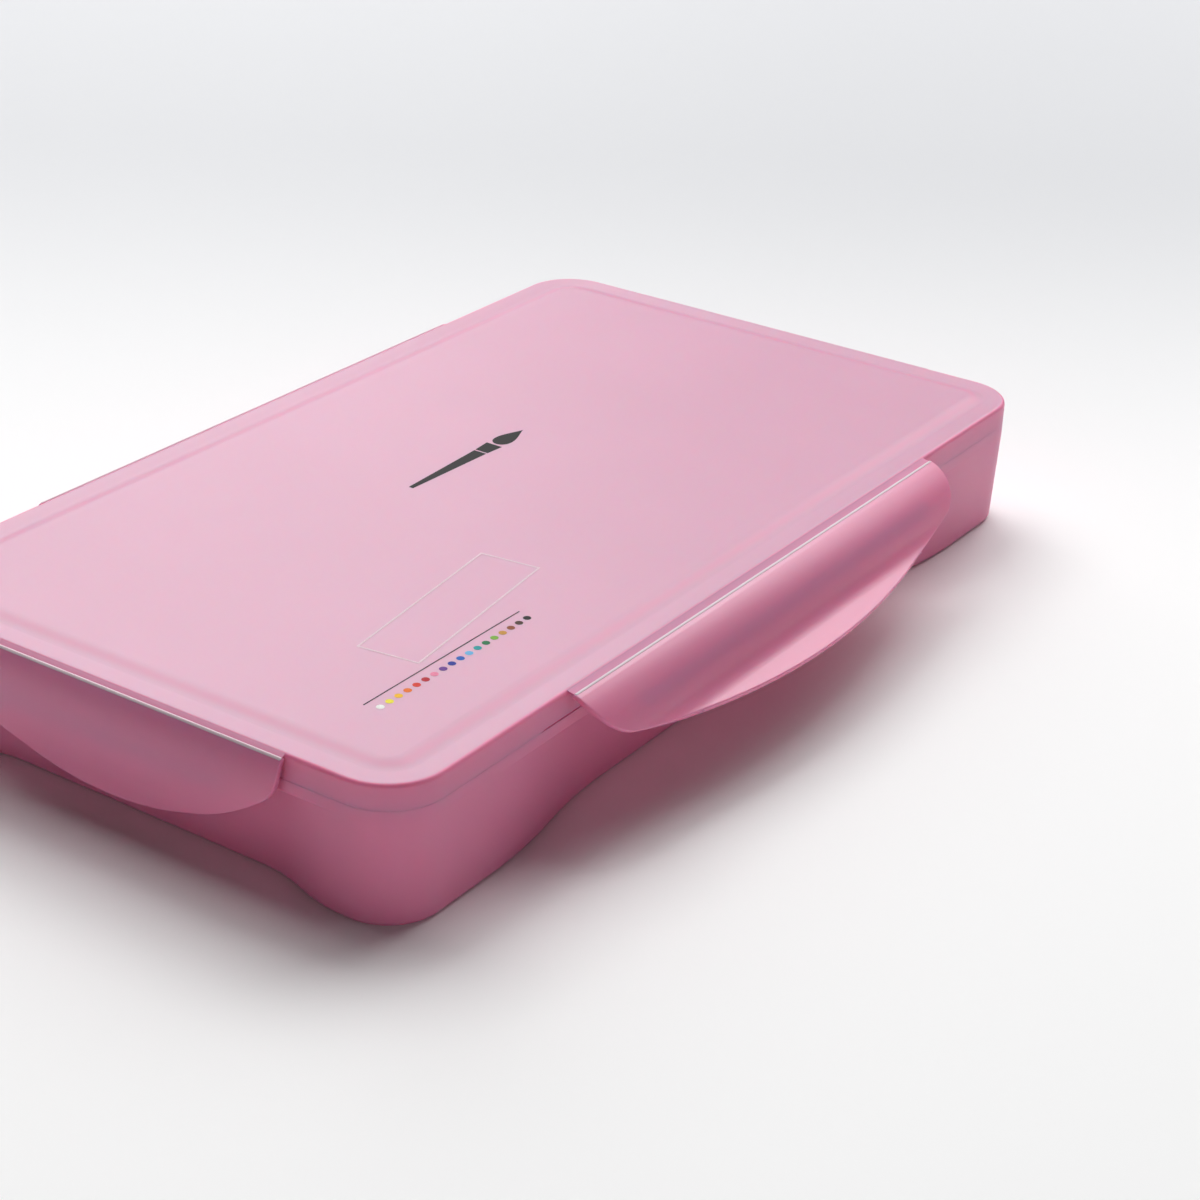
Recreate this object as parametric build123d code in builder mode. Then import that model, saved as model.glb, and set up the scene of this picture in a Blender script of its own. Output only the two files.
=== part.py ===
"""Gouache paint set: a shallow moulded box with a lift-off lid, held by a hinged
latch flap on each of its four sides, with eighteen sealed cups of paint inside.

Millimetres. The origin is the middle of the underside, +X runs along the long
side and +Z points up. The lid is closed, its four flaps are unlatched, and the
flap on the -Y side is pulled open.
"""

import os
from math import atan, cos, degrees, radians, sin, sqrt

from build123d import *

os.makedirs("parts", exist_ok=True)

# ---- Driving dimensions -----------------------------------------------------

# outside of the closed box
BOX_LENGTH = 250.0
BOX_WIDTH = 142.0
LID_EDGE_HEIGHT = 31.5  # top of the lid's edge above the table
CORNER_RADIUS = 13.0

# lid
LID_PLATE = 1.8
LID_SKIRT_WALL = 1.8
LID_SKIRT_DEPTH = 5.6
LID_EDGE_ROUNDING = 0.45
PLATEAU_RISE = 0.5  # the middle of the lid stands this much above its edge
PLATEAU_INSET = 4.6
PLATEAU_SLOPE_RUN = 3.0
PLATEAU_CORNER_RADIUS = 9.0
LOCATING_RIB_WALL = 1.0
LOCATING_RIB_DEPTH = 1.5
SKIRT_RELIEF = 0.4  # the skirt stops short beside the flaps, which leaves a slot
SKIRT_RELIEF_REACH = 11.0

# base
BASE_WALL = 1.8
BASE_FLOOR = 2.0
BASE_DRAFT = 2.5  # degrees
BASE_FOOT_ROUNDING = 1.2
PARTING_GAP = 0.15
LEDGE_THICKNESS = 2.85
RIM_WALL = 1.5
RIM_CLEARANCE = 0.25
RIM_TO_PLATE = 0.05  # the lid seats on the rim
SCOOP_DEPTH = 4.5  # how far the wall steps back under the ledge

# latch flaps
FLAP_WALL = 1.25
FLAP_BELLY_RADIUS = 20.0  # inner face of the outward curve
FLAP_BELLY_START = 17.0  # degrees from the chord, at the hinge
FLAP_BELLY_TURN = 42.0  # degrees
FLAP_NECK_RADIUS = 3.0  # outer face of the tight curve above the lip
FLAP_NECK_TURN = 44.0  # degrees
FLAP_LIP = 9.0  # longer than needed, the outline trims it
FLAP_STANDOFF = 0.05  # from the lid's edge, where the inner face would start
FLAP_END_SLOPE = 10.0  # degrees, of the thick end beside the web
LONG_FLAP_LENGTH = 146.0
LONG_FLAP_DEPTH = 22.8
LONG_FLAP_SWEEP = 240.0  # radius of the lower edge
LONG_FLAP_SHOULDER = 11.0
LONG_SCOOP_TO_CORNER = 17.0  # flat wall between the scoop and the box's corner
SHORT_FLAP_LENGTH = 88.0
SHORT_FLAP_DEPTH = 22.2
SHORT_FLAP_SWEEP = 72.0
SHORT_FLAP_SHOULDER = 6.5
SHORT_SCOOP_TO_CORNER = 2.0
OPEN_ANGLE = 50.0  # chord of the open flap, degrees from hanging straight down
AJAR_ANGLE = 8.0  # chord of the other three

# hinge and latch of a flap
HINGE_DROP = 0.6  # axis below the lid's edge
HINGE_BEAD_RADIUS = 0.42
HINGE_CLEARANCE = 0.03
WEB_DEPTH = 0.65
WEB_WALL = 0.45
LATCH_BITE = 0.6  # how far the latched rib reaches under the ledge
LATCH_CLEARANCE = 0.25
LATCH_RIB_HEIGHT = 0.7
LATCH_RIB_LEAD = 1.7
LATCH_RIB_END = 14.0  # the rib stops this far from the flap's ends

# cups of paint
CUPS_ALONG = 6
CUPS_ACROSS = 3
CUP_HEIGHT = 25.2
CUP_WALL = 0.9
CUP_SPACING_GAP = 0.4
CUP_FLANGE = 1.3
CUP_FLANGE_THICKNESS = 0.9
CUP_TAPER = 4.0  # degrees
CUP_CORNER_RADIUS = 5.0
PAINT_BELOW_RIM = 1.6
PAINT_CLEARANCE = 0.05
FILM_THICKNESS = 0.2
FILM_MARGIN = 0.3

# ---- Heights and places that follow -----------------------------------------

lid_underside = LID_EDGE_HEIGHT - LID_PLATE
skirt_bottom = LID_EDGE_HEIGHT - LID_SKIRT_DEPTH
ledge_top = skirt_bottom - PARTING_GAP
ledge_bottom = ledge_top - LEDGE_THICKNESS
rim_top = lid_underside - RIM_TO_PLATE
rim_inset = LID_SKIRT_WALL + RIM_CLEARANCE
rim_inner_inset = rim_inset + RIM_WALL
hinge_height = LID_EDGE_HEIGHT - HINGE_DROP
hinge_out = HINGE_BEAD_RADIUS + HINGE_CLEARANCE
draft_run = ledge_bottom * sin(radians(BASE_DRAFT)) / cos(radians(BASE_DRAFT))
floor_inset = SCOOP_DEPTH + draft_run


def rounded_plan(inset):
    """Return the length, width and corner radius of the box's plan, inset all round."""
    return BOX_LENGTH - 2 * inset, BOX_WIDTH - 2 * inset, CORNER_RADIUS - inset


def scooped_plan(inset):
    """Return the box's plan with its four scooped sides, inset all round.

    Each side swings back through two tangent arcs, so that a finger reaches
    behind the flap.
    """
    half_x, half_y = BOX_LENGTH / 2, BOX_WIDTH / 2
    x_mid, y_mid = LONG_FLAP_LENGTH / 2, SHORT_FLAP_LENGTH / 2
    x_run = half_x - CORNER_RADIUS - LONG_SCOOP_TO_CORNER - x_mid
    y_run = half_y - CORNER_RADIUS - SHORT_SCOOP_TO_CORNER - y_mid
    with BuildSketch() as plan:
        with BuildLine():
            Line((0, half_y - SCOOP_DEPTH), (x_mid - x_run, half_y - SCOOP_DEPTH))
            back = TangentArc(
                (x_mid - x_run, half_y - SCOOP_DEPTH),
                (x_mid, half_y - SCOOP_DEPTH / 2),
                tangent=(1, 0),
            )
            TangentArc(back @ 1, (x_mid + x_run, half_y), tangent=back % 1)
            Line((x_mid + x_run, half_y), (half_x - CORNER_RADIUS, half_y))
            corner = TangentArc(
                (half_x - CORNER_RADIUS, half_y),
                (half_x, half_y - CORNER_RADIUS),
                tangent=(1, 0),
            )
            Line(corner @ 1, (half_x, y_mid + y_run))
            side = TangentArc(
                (half_x, y_mid + y_run), (half_x - SCOOP_DEPTH / 2, y_mid), tangent=(0, -1)
            )
            TangentArc(side @ 1, (half_x - SCOOP_DEPTH, y_mid - y_run), tangent=side % 1)
            Line((half_x - SCOOP_DEPTH, y_mid - y_run), (half_x - SCOOP_DEPTH, 0))
            mirror(about=Plane.XZ)
            mirror(about=Plane.YZ)
        make_face()
        if inset:
            offset(amount=-inset, kind=Kind.INTERSECTION, mode=Mode.REPLACE)
    return plan.sketch


# ---- Base -------------------------------------------------------------------

with BuildPart() as base_box:
    # drafted wall with its scoops, up to the underside of the ledge
    with BuildSketch(Plane.XY.offset(ledge_bottom)):
        add(scooped_plan(0))
    extrude(amount=-ledge_bottom, taper=BASE_DRAFT)
    foot_edges = base_box.edges().group_by(Axis.Z)[0]
    fillet(foot_edges, radius=BASE_FOOT_ROUNDING)
    # ledge that the flaps latch under, flush with the lid's skirt
    with BuildSketch(Plane.XY.offset(ledge_bottom)):
        RectangleRounded(*rounded_plan(0))
    extrude(amount=LEDGE_THICKNESS)
    # upstand rim inside the lid's skirt
    with BuildSketch(Plane.XY.offset(ledge_top)):
        RectangleRounded(*rounded_plan(rim_inset))
    extrude(amount=rim_top - ledge_top)
    chamfer(base_box.faces().sort_by(Axis.Z)[-1].edges(), length=RIM_WALL / 4)
    # tray for the cups
    with BuildSketch(Plane.XY.offset(rim_top)) as tray:
        RectangleRounded(*rounded_plan(rim_inner_inset))
        add(scooped_plan(BASE_WALL), mode=Mode.INTERSECT)
    extrude(amount=BASE_FLOOR - rim_top, taper=BASE_DRAFT, mode=Mode.SUBTRACT)
    with BuildSketch(Plane.XY.offset(ledge_top)):
        RectangleRounded(*rounded_plan(rim_inner_inset))
    extrude(amount=rim_top - ledge_top, mode=Mode.SUBTRACT)

base_box.part.label = "base_box"
export_step(base_box.part, "parts/base_box.step")

# ---- Lid --------------------------------------------------------------------

with BuildPart() as lid:
    with BuildSketch(Plane.XY.offset(skirt_bottom)):
        RectangleRounded(*rounded_plan(0))
    extrude(amount=LID_SKIRT_DEPTH)
    fillet(lid.faces().sort_by(Axis.Z)[-1].edges(), radius=LID_EDGE_ROUNDING)
    # raised middle with a long easy slope
    with BuildSketch(Plane.XY.offset(LID_EDGE_HEIGHT)):
        RectangleRounded(*rounded_plan(PLATEAU_INSET)[:2], PLATEAU_CORNER_RADIUS)
    extrude(amount=PLATEAU_RISE, taper=degrees(atan(PLATEAU_SLOPE_RUN / PLATEAU_RISE)))
    # hollow behind the skirt
    with BuildSketch(Plane.XY.offset(skirt_bottom)):
        RectangleRounded(*rounded_plan(LID_SKIRT_WALL))
    extrude(amount=lid_underside - skirt_bottom, mode=Mode.SUBTRACT)
    # locating rib that drops inside the base's rim
    with BuildSketch(Plane.XY.offset(lid_underside)):
        RectangleRounded(*rounded_plan(rim_inner_inset + RIM_CLEARANCE))
        RectangleRounded(
            *rounded_plan(rim_inner_inset + RIM_CLEARANCE + LOCATING_RIB_WALL), mode=Mode.SUBTRACT
        )
    extrude(amount=-LOCATING_RIB_DEPTH)
    # relief of the skirt's lower edge behind and beside each flap
    with BuildSketch(Plane.XY.offset(skirt_bottom)):
        Rectangle(LONG_FLAP_LENGTH + 2 * SKIRT_RELIEF_REACH, BOX_WIDTH)
        Rectangle(BOX_LENGTH, SHORT_FLAP_LENGTH + 2 * SKIRT_RELIEF_REACH)
    extrude(amount=SKIRT_RELIEF, mode=Mode.SUBTRACT)

lid.part.label = "lid"
export_step(lid.part, "parts/lid.step")

# ---- Latch flaps ------------------------------------------------------------

latch_depth = hinge_height - ledge_bottom + LATCH_CLEARANCE
latch_tip = -(hinge_out + LATCH_BITE)


def build_flap(outward, reach, length, depth, sweep, shoulder, angle):
    """Return one latch flap, hung from the lid's edge.

    outward is the side that it faces, reach the lid's half size that way, length
    and depth its size along and across the hinge, sweep the radius of its lower
    edge, shoulder that of its corners, and angle how far its chord is open.
    """
    facing = Vector(*outward, 0)
    along = facing.rotate(Axis.Z, -90)
    chord = facing * sin(radians(angle)) - Vector(0, 0, cos(radians(angle)))
    axis_point = facing * (reach + hinge_out) + Vector(0, 0, hinge_height)
    section_plane = Plane(axis_point, x_dir=chord, z_dir=along)
    outline_plane = Plane(axis_point, x_dir=along, z_dir=along.cross(chord))
    end_depth = depth - (sweep - sqrt(sweep**2 - (length / 2) ** 2))
    lean = Vector(cos(radians(FLAP_BELLY_START)), sin(radians(FLAP_BELLY_START)))
    through = Vector(-lean.Y, lean.X) * FLAP_WALL
    belly_foot = Vector(0, -hinge_out + FLAP_STANDOFF)

    with BuildPart() as flap:
        # S-shaped section: outward belly, tight neck and flared lip
        with BuildSketch(section_plane):
            with BuildLine():
                belly = JernArc(belly_foot, lean, FLAP_BELLY_RADIUS, -FLAP_BELLY_TURN)
                neck = JernArc(
                    belly @ 1, belly % 1, FLAP_NECK_RADIUS + FLAP_WALL, FLAP_NECK_TURN
                )
                lip = Line(neck @ 1, neck @ 1 + (neck % 1) * FLAP_LIP)
                outer_belly = JernArc(
                    belly_foot + through, lean, FLAP_BELLY_RADIUS + FLAP_WALL, -FLAP_BELLY_TURN
                )
                outer_neck = JernArc(
                    outer_belly @ 1, outer_belly % 1, FLAP_NECK_RADIUS, FLAP_NECK_TURN
                )
                outer_lip = Line(outer_neck @ 1, outer_neck @ 1 + (outer_neck % 1) * FLAP_LIP)
                Line(lip @ 1, outer_lip @ 1)
                Line(outer_belly @ 0, belly @ 0)
            make_face()
            with Locations((WEB_DEPTH, 0)):
                Rectangle(
                    4 * FLAP_WALL,
                    8 * FLAP_WALL,
                    rotation=FLAP_END_SLOPE,
                    align=(Align.MAX, Align.CENTER),
                    mode=Mode.SUBTRACT,
                )
            # thin web up to the bead that it turns on
            Circle(HINGE_BEAD_RADIUS)
            Rectangle(WEB_DEPTH + WEB_WALL, WEB_WALL, align=(Align.MIN, Align.CENTER))
        extrude(amount=length / 2, both=True)
        # outline: straight ends, round shoulders and one long sweep
        with BuildSketch(outline_plane) as outline:
            with BuildLine():
                Polyline(
                    (-length / 2, end_depth),
                    (-length / 2, -depth),
                    (length / 2, -depth),
                    (length / 2, end_depth),
                )
                ThreePointArc((length / 2, end_depth), (0, depth), (-length / 2, end_depth))
            make_face()
            corners = outline.vertices().filter_by_position(
                Axis.Y, end_depth - 0.1, end_depth + 0.1
            )
            fillet(corners, radius=shoulder)
        extrude(amount=depth, both=True, mode=Mode.INTERSECT)
        # latch rib on the inner face, square on top and sloped below
        with BuildSketch(section_plane):
            Polygon(
                (latch_depth, FLAP_WALL / 2),
                (latch_depth, latch_tip),
                (latch_depth + LATCH_RIB_HEIGHT, latch_tip),
                (latch_depth + LATCH_RIB_HEIGHT + LATCH_RIB_LEAD, FLAP_WALL / 2),
                align=None,
            )
        extrude(amount=length / 2 - LATCH_RIB_END, both=True)
    return flap.part


long_flap = (BOX_WIDTH / 2, LONG_FLAP_LENGTH, LONG_FLAP_DEPTH, LONG_FLAP_SWEEP, LONG_FLAP_SHOULDER)
short_flap = (
    BOX_LENGTH / 2,
    SHORT_FLAP_LENGTH,
    SHORT_FLAP_DEPTH,
    SHORT_FLAP_SWEEP,
    SHORT_FLAP_SHOULDER,
)
flaps = {
    "flap_front": build_flap((0, -1), *long_flap, OPEN_ANGLE),
    "flap_back": build_flap((0, 1), *long_flap, AJAR_ANGLE),
    "flap_left": build_flap((-1, 0), *short_flap, AJAR_ANGLE),
    "flap_right": build_flap((1, 0), *short_flap, AJAR_ANGLE),
}
for name, flap_part in flaps.items():
    flap_part.label = name
    export_step(flap_part, f"parts/{name}.step")

# ---- Cups of paint ----------------------------------------------------------

tray_inset = floor_inset + BASE_WALL
cup_pitch_x = (BOX_LENGTH - 2 * tray_inset) / CUPS_ALONG
cup_pitch_y = (BOX_WIDTH - 2 * tray_inset) / CUPS_ACROSS
flange_x = cup_pitch_x - CUP_SPACING_GAP
flange_y = cup_pitch_y - CUP_SPACING_GAP
body_x = flange_x - 2 * CUP_FLANGE
body_y = flange_y - 2 * CUP_FLANGE
body_radius = CUP_CORNER_RADIUS - CUP_FLANGE
cup_top = BASE_FLOOR + CUP_HEIGHT

# square tapered cup with a sealing flange
with BuildPart() as cup:
    with BuildSketch(Plane.XY.offset(cup_top)):
        RectangleRounded(body_x, body_y, body_radius)
    extrude(amount=-CUP_HEIGHT, taper=CUP_TAPER)
    with BuildSketch(Plane.XY.offset(cup_top)):
        RectangleRounded(flange_x, flange_y, CUP_CORNER_RADIUS)
    extrude(amount=-CUP_FLANGE_THICKNESS)
    with BuildSketch(Plane.XY.offset(cup_top)):
        RectangleRounded(body_x - 2 * CUP_WALL, body_y - 2 * CUP_WALL, body_radius - CUP_WALL)
    extrude(amount=CUP_WALL - CUP_HEIGHT, taper=CUP_TAPER, mode=Mode.SUBTRACT)

# paint that fills the cup to just below its rim
paint_inset = CUP_WALL + PAINT_BELOW_RIM * sin(radians(CUP_TAPER)) / cos(radians(CUP_TAPER))
paint_inset += PAINT_CLEARANCE
with BuildPart() as paint:
    with BuildSketch(Plane.XY.offset(cup_top - PAINT_BELOW_RIM)):
        RectangleRounded(body_x - 2 * paint_inset, body_y - 2 * paint_inset, body_radius - CUP_WALL)
    extrude(amount=PAINT_BELOW_RIM + CUP_WALL - CUP_HEIGHT, taper=CUP_TAPER)

# peel-off film over the flange
with BuildPart() as film:
    with BuildSketch(Plane.XY.offset(cup_top)):
        RectangleRounded(
            flange_x - 2 * FILM_MARGIN, flange_y - 2 * FILM_MARGIN, CUP_CORNER_RADIUS - FILM_MARGIN
        )
    extrude(amount=FILM_THICKNESS)

cup_spots = GridLocations(cup_pitch_x, cup_pitch_y, CUPS_ALONG, CUPS_ACROSS)
for number, spot in enumerate(cup_spots, start=1):
    for name, piece in (("cup", cup), ("paint", paint), ("film", film)):
        copy = spot * piece.part
        copy.label = f"{name}_{number:02d}"
        export_step(copy, f"parts/{copy.label}.step")
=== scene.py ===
"""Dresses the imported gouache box: satin pink polypropylene shells with soft
edges, living hinges between the lid and its four latch flaps, eighteen cups of
paint under clear films, and the table and light that it stands in.

Lengths are millimetres in the classes' fields and metres in the meshes.
"""

import logging
from dataclasses import dataclass, field, replace
from enum import Enum
from math import asin, copysign, cos, pi, radians, sin, sqrt, tan
from typing import Iterable, Sequence

import bmesh
import bpy
from mathutils import Matrix, Vector, noise


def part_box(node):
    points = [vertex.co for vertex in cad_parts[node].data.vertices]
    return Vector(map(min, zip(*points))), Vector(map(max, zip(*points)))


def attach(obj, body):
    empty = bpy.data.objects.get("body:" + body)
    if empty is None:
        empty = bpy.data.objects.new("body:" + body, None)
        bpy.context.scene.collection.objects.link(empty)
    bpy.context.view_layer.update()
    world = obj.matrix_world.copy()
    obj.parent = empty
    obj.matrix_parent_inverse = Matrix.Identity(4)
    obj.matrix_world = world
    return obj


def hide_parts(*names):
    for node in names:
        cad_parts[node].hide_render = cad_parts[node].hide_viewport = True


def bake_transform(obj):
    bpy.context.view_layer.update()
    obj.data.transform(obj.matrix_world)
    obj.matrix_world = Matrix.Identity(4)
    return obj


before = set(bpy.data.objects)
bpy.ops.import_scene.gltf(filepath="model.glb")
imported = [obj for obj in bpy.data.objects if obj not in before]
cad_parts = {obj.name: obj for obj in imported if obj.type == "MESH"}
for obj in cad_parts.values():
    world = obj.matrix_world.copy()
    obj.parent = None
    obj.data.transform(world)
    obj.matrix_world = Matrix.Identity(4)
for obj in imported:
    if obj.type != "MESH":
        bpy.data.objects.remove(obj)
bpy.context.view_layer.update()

log = logging.getLogger("gouache_box")

Pair = tuple[float, float]
Triple = tuple[float, float, float]
Mesh = bmesh.types.BMesh
Vert = bmesh.types.BMVert
Edge = bmesh.types.BMEdge
Piece = bpy.types.Object
Node = bpy.types.Node
Socket = bpy.types.NodeSocket

MM = 0.001
TO_METRES = Matrix.Scale(MM, 4)
PINK = "#F48CB3"
# edges that turn more than this stay sharp
SHARP_ANGLE = radians(32)
# vertices closer than these are merged: in any mesh, and in the middle of a flat end
MERGE_DISTANCE = 1e-6
CAP_MERGE = 1e-3
# how near a cut may pass a vertex before it goes through it
CUT_SNAP = 1e-4
# how near an edge's radius is to the one being rounded
ROUNDING_MATCH = 1e-5
# added to a loop's radius, so that its corners are rounded a second time
SECOND_PASS = 1e-7
# an outline faces square to a straight side above this
STRAIGHT_SIDE = 0.999


# ---- Small tools ------------------------------------------------------------


def srgb(code: str, alpha: float = 1.0) -> tuple[float, float, float, float]:
    """Turn an sRGB hex colour to linear light.

    Args:
        code: Six hex digits, with or without a leading #.
        alpha: Opacity, passed through unchanged.

    Returns:
        Linear red, green, blue and alpha.
    """
    digits = code.lstrip("#")
    linear = []
    for start in (0, 2, 4):
        value = int(digits[start : start + 2], 16) / 255
        linear.append(value / 12.92 if value <= 0.04045 else ((value + 0.055) / 1.055) ** 2.4)
    return (*linear, alpha)


def fill_inputs(node: Node, **inputs: object) -> Node:
    """Fill a shader node's inputs and return the node.

    Args:
        node: The node.
        **inputs: One value or output socket for each input, by its name with
            underscores for spaces, or by i and its number.
    """
    for key, value in inputs.items():
        is_number = key[0] == "i" and key[1:].isdigit()
        socket = node.inputs[int(key[1:]) if is_number else key.replace("_", " ")]
        if isinstance(value, Socket):
            node.id_data.links.new(value, socket)
        else:
            socket.default_value = value
    return node


def add_node(
    tree: bpy.types.NodeTree, kind: str, settings: dict[str, object] | None = None, **inputs: object
) -> Node:
    """Add a shader node with its properties and inputs, and return it.

    Args:
        tree: The node tree that gets the node.
        kind: The last part of Blender's node type, such as "Bump".
        settings: Properties of the node itself.
        **inputs: The inputs, as fill_inputs takes them.
    """
    node = tree.nodes.new(f"ShaderNode{kind}")
    for key, value in (settings or {}).items():
        setattr(node, key, value)
    return fill_inputs(node, **inputs)


def noise_at(surface: Node, size_mm: float, **inputs: float) -> Socket:
    """Return a noise that is fixed to the object.

    Args:
        surface: The material's texture coordinates.
        size_mm: Width of its patches.
        **inputs: The noise's other inputs.
    """
    place = surface.outputs["Object"]
    scale = 1 / (size_mm * MM)
    return add_node(surface.id_data, "TexNoise", Vector=place, Scale=scale, **inputs).outputs["Fac"]


def mapped(value: Socket, source: Pair, target: Pair = (0.0, 1.0), smooth: bool = False) -> Socket:
    """Map a value from one range to another.

    Args:
        value: The socket that gives it.
        source: The range that it is in.
        target: The range that it comes out in.
        smooth: Whether it eases in and out.
    """
    easing = {"interpolation_type": "SMOOTHSTEP" if smooth else "LINEAR"}
    ends = {"i1": source[0], "i2": source[1], "i3": target[0], "i4": target[1]}
    return add_node(value.id_data, "MapRange", easing, i0=value, **ends).outputs[0]


def toned(colour: object, value: Socket) -> Socket:
    """Return a colour, or a socket's colour, made lighter or darker by a value."""
    inputs = {"Saturation": 1.0, "Value": value, "Color": colour}
    return add_node(value.id_data, "HueSaturation", **inputs).outputs["Color"]


def mixed(share: Socket, first: str, second: str) -> Socket:
    """Return a mix of two sRGB hex colours, by a share from 0 to 1."""
    colours = {"i0": share, "i6": srgb(first), "i7": srgb(second)}
    return add_node(share.id_data, "Mix", {"data_type": "RGBA"}, **colours).outputs[2]


def bumped(height: Socket, depth_mm: float, strength: float) -> Socket:
    """Return a normal bent by a height that is that many millimetres deep."""
    inputs = {"Strength": strength, "Distance": depth_mm * MM, "Height": height}
    return add_node(height.id_data, "Bump", **inputs).outputs["Normal"]


def finish_mesh(bm: Mesh, place: Matrix = TO_METRES) -> None:
    """Bring a mesh to metres, merge doubles and shade all but the sharp edges smooth.

    Args:
        bm: The mesh to finish, in millimetres.
        place: The matrix that brings it to metres and to its place.
    """
    bmesh.ops.transform(bm, matrix=place, verts=bm.verts)
    bmesh.ops.remove_doubles(bm, verts=bm.verts, dist=MERGE_DISTANCE)
    bmesh.ops.recalc_face_normals(bm, faces=bm.faces)
    for face in bm.faces:
        face.smooth = True
    for edge in bm.edges:
        edge.smooth = edge.calc_face_angle(0.0) < SHARP_ANGLE


def verts_in(geometry: Iterable[object]) -> list[Vert]:
    """Return the vertices among what an operator made."""
    return [item for item in geometry if isinstance(item, Vert)]


def edges_within(verts: set[Vert]) -> list[Edge]:
    """Return the edges that have both ends among some vertices."""
    return [e for e in {e for v in verts for e in v.link_edges} if set(e.verts) <= verts]


def round_off(
    bm: Mesh, geometry: list, radius: float, segments: int, affect: str = "EDGES"
) -> None:
    """Round edges, or the corners of an outline.

    Args:
        bm: The mesh that they belong to.
        geometry: The edges or vertices.
        radius: Radius of the rounding.
        segments: How many pieces it has.
        affect: "EDGES" or "VERTICES".
    """
    shape = {"offset": radius, "segments": segments, "profile": 0.5, "affect": affect}
    bmesh.ops.bevel(bm, geom=geometry, material=-1, **shape)


def extrude_loop(bm: Mesh, loop: list[Edge]) -> tuple[set[Vert], list[Edge]]:
    """Extrude a closed loop of edges in place.

    Args:
        bm: The mesh that the loop belongs to.
        loop: The edges of the loop.

    Returns:
        The new loop's vertices and its edges.
    """
    verts = set(verts_in(bmesh.ops.extrude_edge_only(bm, edges=loop)["geom"]))
    return verts, edges_within(verts)


def make_piece(name: str, bm: Mesh, material: bpy.types.Material, flat_faces: bool = True) -> Piece:
    """Turn a finished bmesh into an object at the origin, and return it.

    Args:
        name: Name of the piece.
        bm: The mesh in metres, freed here.
        material: The one material of the piece.
        flat_faces: Whether large flat faces keep their own normals.
    """
    mesh = bpy.data.meshes.new(name)
    bm.to_mesh(mesh)
    bm.free()
    mesh.materials.append(material)
    piece = bpy.data.objects.new(name, mesh)
    bpy.context.scene.collection.objects.link(piece)
    if flat_faces:
        weighted = piece.modifiers.new("flat faces stay flat", "WEIGHTED_NORMAL")
        weighted.keep_sharp = True
    return piece


def seat(piece: Piece, body: str, slot: str, *nodes: str) -> None:
    """Make a piece ride on a body and stand for CAD nodes.

    Args:
        piece: The piece, already in place.
        body: The CAD body that it moves with.
        slot: Not used.
        *nodes: The CAD nodes that it replaces.
    """
    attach(piece, body)
    if nodes:
        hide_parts(*nodes)
    triangles = sum(len(face.vertices) - 2 for face in piece.data.polygons)
    log.info("%s rides on %s, %d triangles", piece.name, body, triangles)


# ---- Finishes ---------------------------------------------------------------


@dataclass(frozen=True)
class Finish:
    """A procedural finish, named for its real material."""

    name: str

    def inputs(self, surface: Node) -> dict[str, object]:
        """Return the shader's inputs.

        Args:
            surface: The texture coordinates in the material's node tree.
        """
        raise NotImplementedError

    def material(self) -> bpy.types.Material:
        """Build the node material."""
        material = bpy.data.materials.new(self.name)
        material.use_nodes = True
        tree = material.node_tree
        shader = tree.nodes["Principled BSDF"]
        fill_inputs(shader, **self.inputs(add_node(tree, "TexCoord")))
        return material


@dataclass(frozen=True)
class MouldedPolypropylene(Finish):
    """Injection-moulded polypropylene with a satin skin.

    The polymer scatters light under its skin, so thin edges glow and shadows
    stay warm. A second, paler colour, if given, is a painted sheen: faces that
    face up are painted in it, as the light from above makes them look, while
    upright and tilted faces, a crease among them, keep the deeper colour as
    painted shade.
    """

    colour: str = PINK
    painted_sheen_colour: str = ""
    painted_sheen_slope: Pair = (0.93, 0.9997)
    roughness: float = 0.42
    roughness_swing: float = 0.03
    subsurface: float = 0.6
    scatter_mm: Triple = (3.0, 0.6, 1.0)
    grain_mm: float = 0.35
    grain_depth_mm: float = 0.004
    flow_mm: float = 45.0
    flow_swing: float = 0.015
    ior: float = 1.49
    gloss: float = 0.5

    def inputs(self, surface: Node) -> dict[str, object]:
        """Return the shader's inputs for hazed, flowed and grained plastic."""
        middle = (0.3, 0.7)
        # painted sheen and painted shade: faces that lie flat take the paler colour, upright and
        # tilted faces keep the deeper one
        normal = surface.outputs["Normal"]
        slope = add_node(surface.id_data, "SeparateXYZ", Vector=normal).outputs["Z"]
        painted_sheen = mapped(slope, self.painted_sheen_slope, smooth=True)
        skin = mixed(painted_sheen, self.colour, self.painted_sheen_colour or self.colour)
        # slow change of tone where the melt flowed and cooled
        flow = noise_at(surface, self.flow_mm, Detail=2.0, Roughness=0.45)
        tone = mapped(flow, middle, (1 - self.flow_swing, 1 + self.flow_swing))
        # spark texture of the mould, drawn as coarse as it needs to show
        grain = noise_at(surface, self.grain_mm, Detail=3.0, Roughness=0.6)
        rough = (self.roughness - self.roughness_swing, self.roughness + self.roughness_swing)
        return {
            "Base_Color": toned(skin, tone),
            "Roughness": mapped(grain, middle, rough),
            "Normal": bumped(grain, self.grain_depth_mm, 0.6),
            "IOR": self.ior,
            "Specular_IOR_Level": self.gloss,
            "Subsurface_Weight": self.subsurface,
            "Subsurface_Radius": self.scatter_mm,
            "Subsurface_Scale": MM,
        }


@dataclass(frozen=True)
class ClearFilm(Finish):
    """Heat-sealed polyester film: clear, glossy and a little cockled."""

    alpha: float = 0.12
    cockle_mm: float = 7.0
    cockle_depth_mm: float = 0.4

    def inputs(self, surface: Node) -> dict[str, object]:
        """Return the shader's inputs for clear, cockled film."""
        cockle = noise_at(surface, self.cockle_mm, Detail=3.0, Distortion=0.6)
        return {
            "Base_Color": srgb("#F4F6F8"),
            "Roughness": 0.08,
            "Normal": bumped(cockle, self.cockle_depth_mm, 0.5),
            "IOR": 1.6,
            "Alpha": self.alpha,
        }


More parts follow.
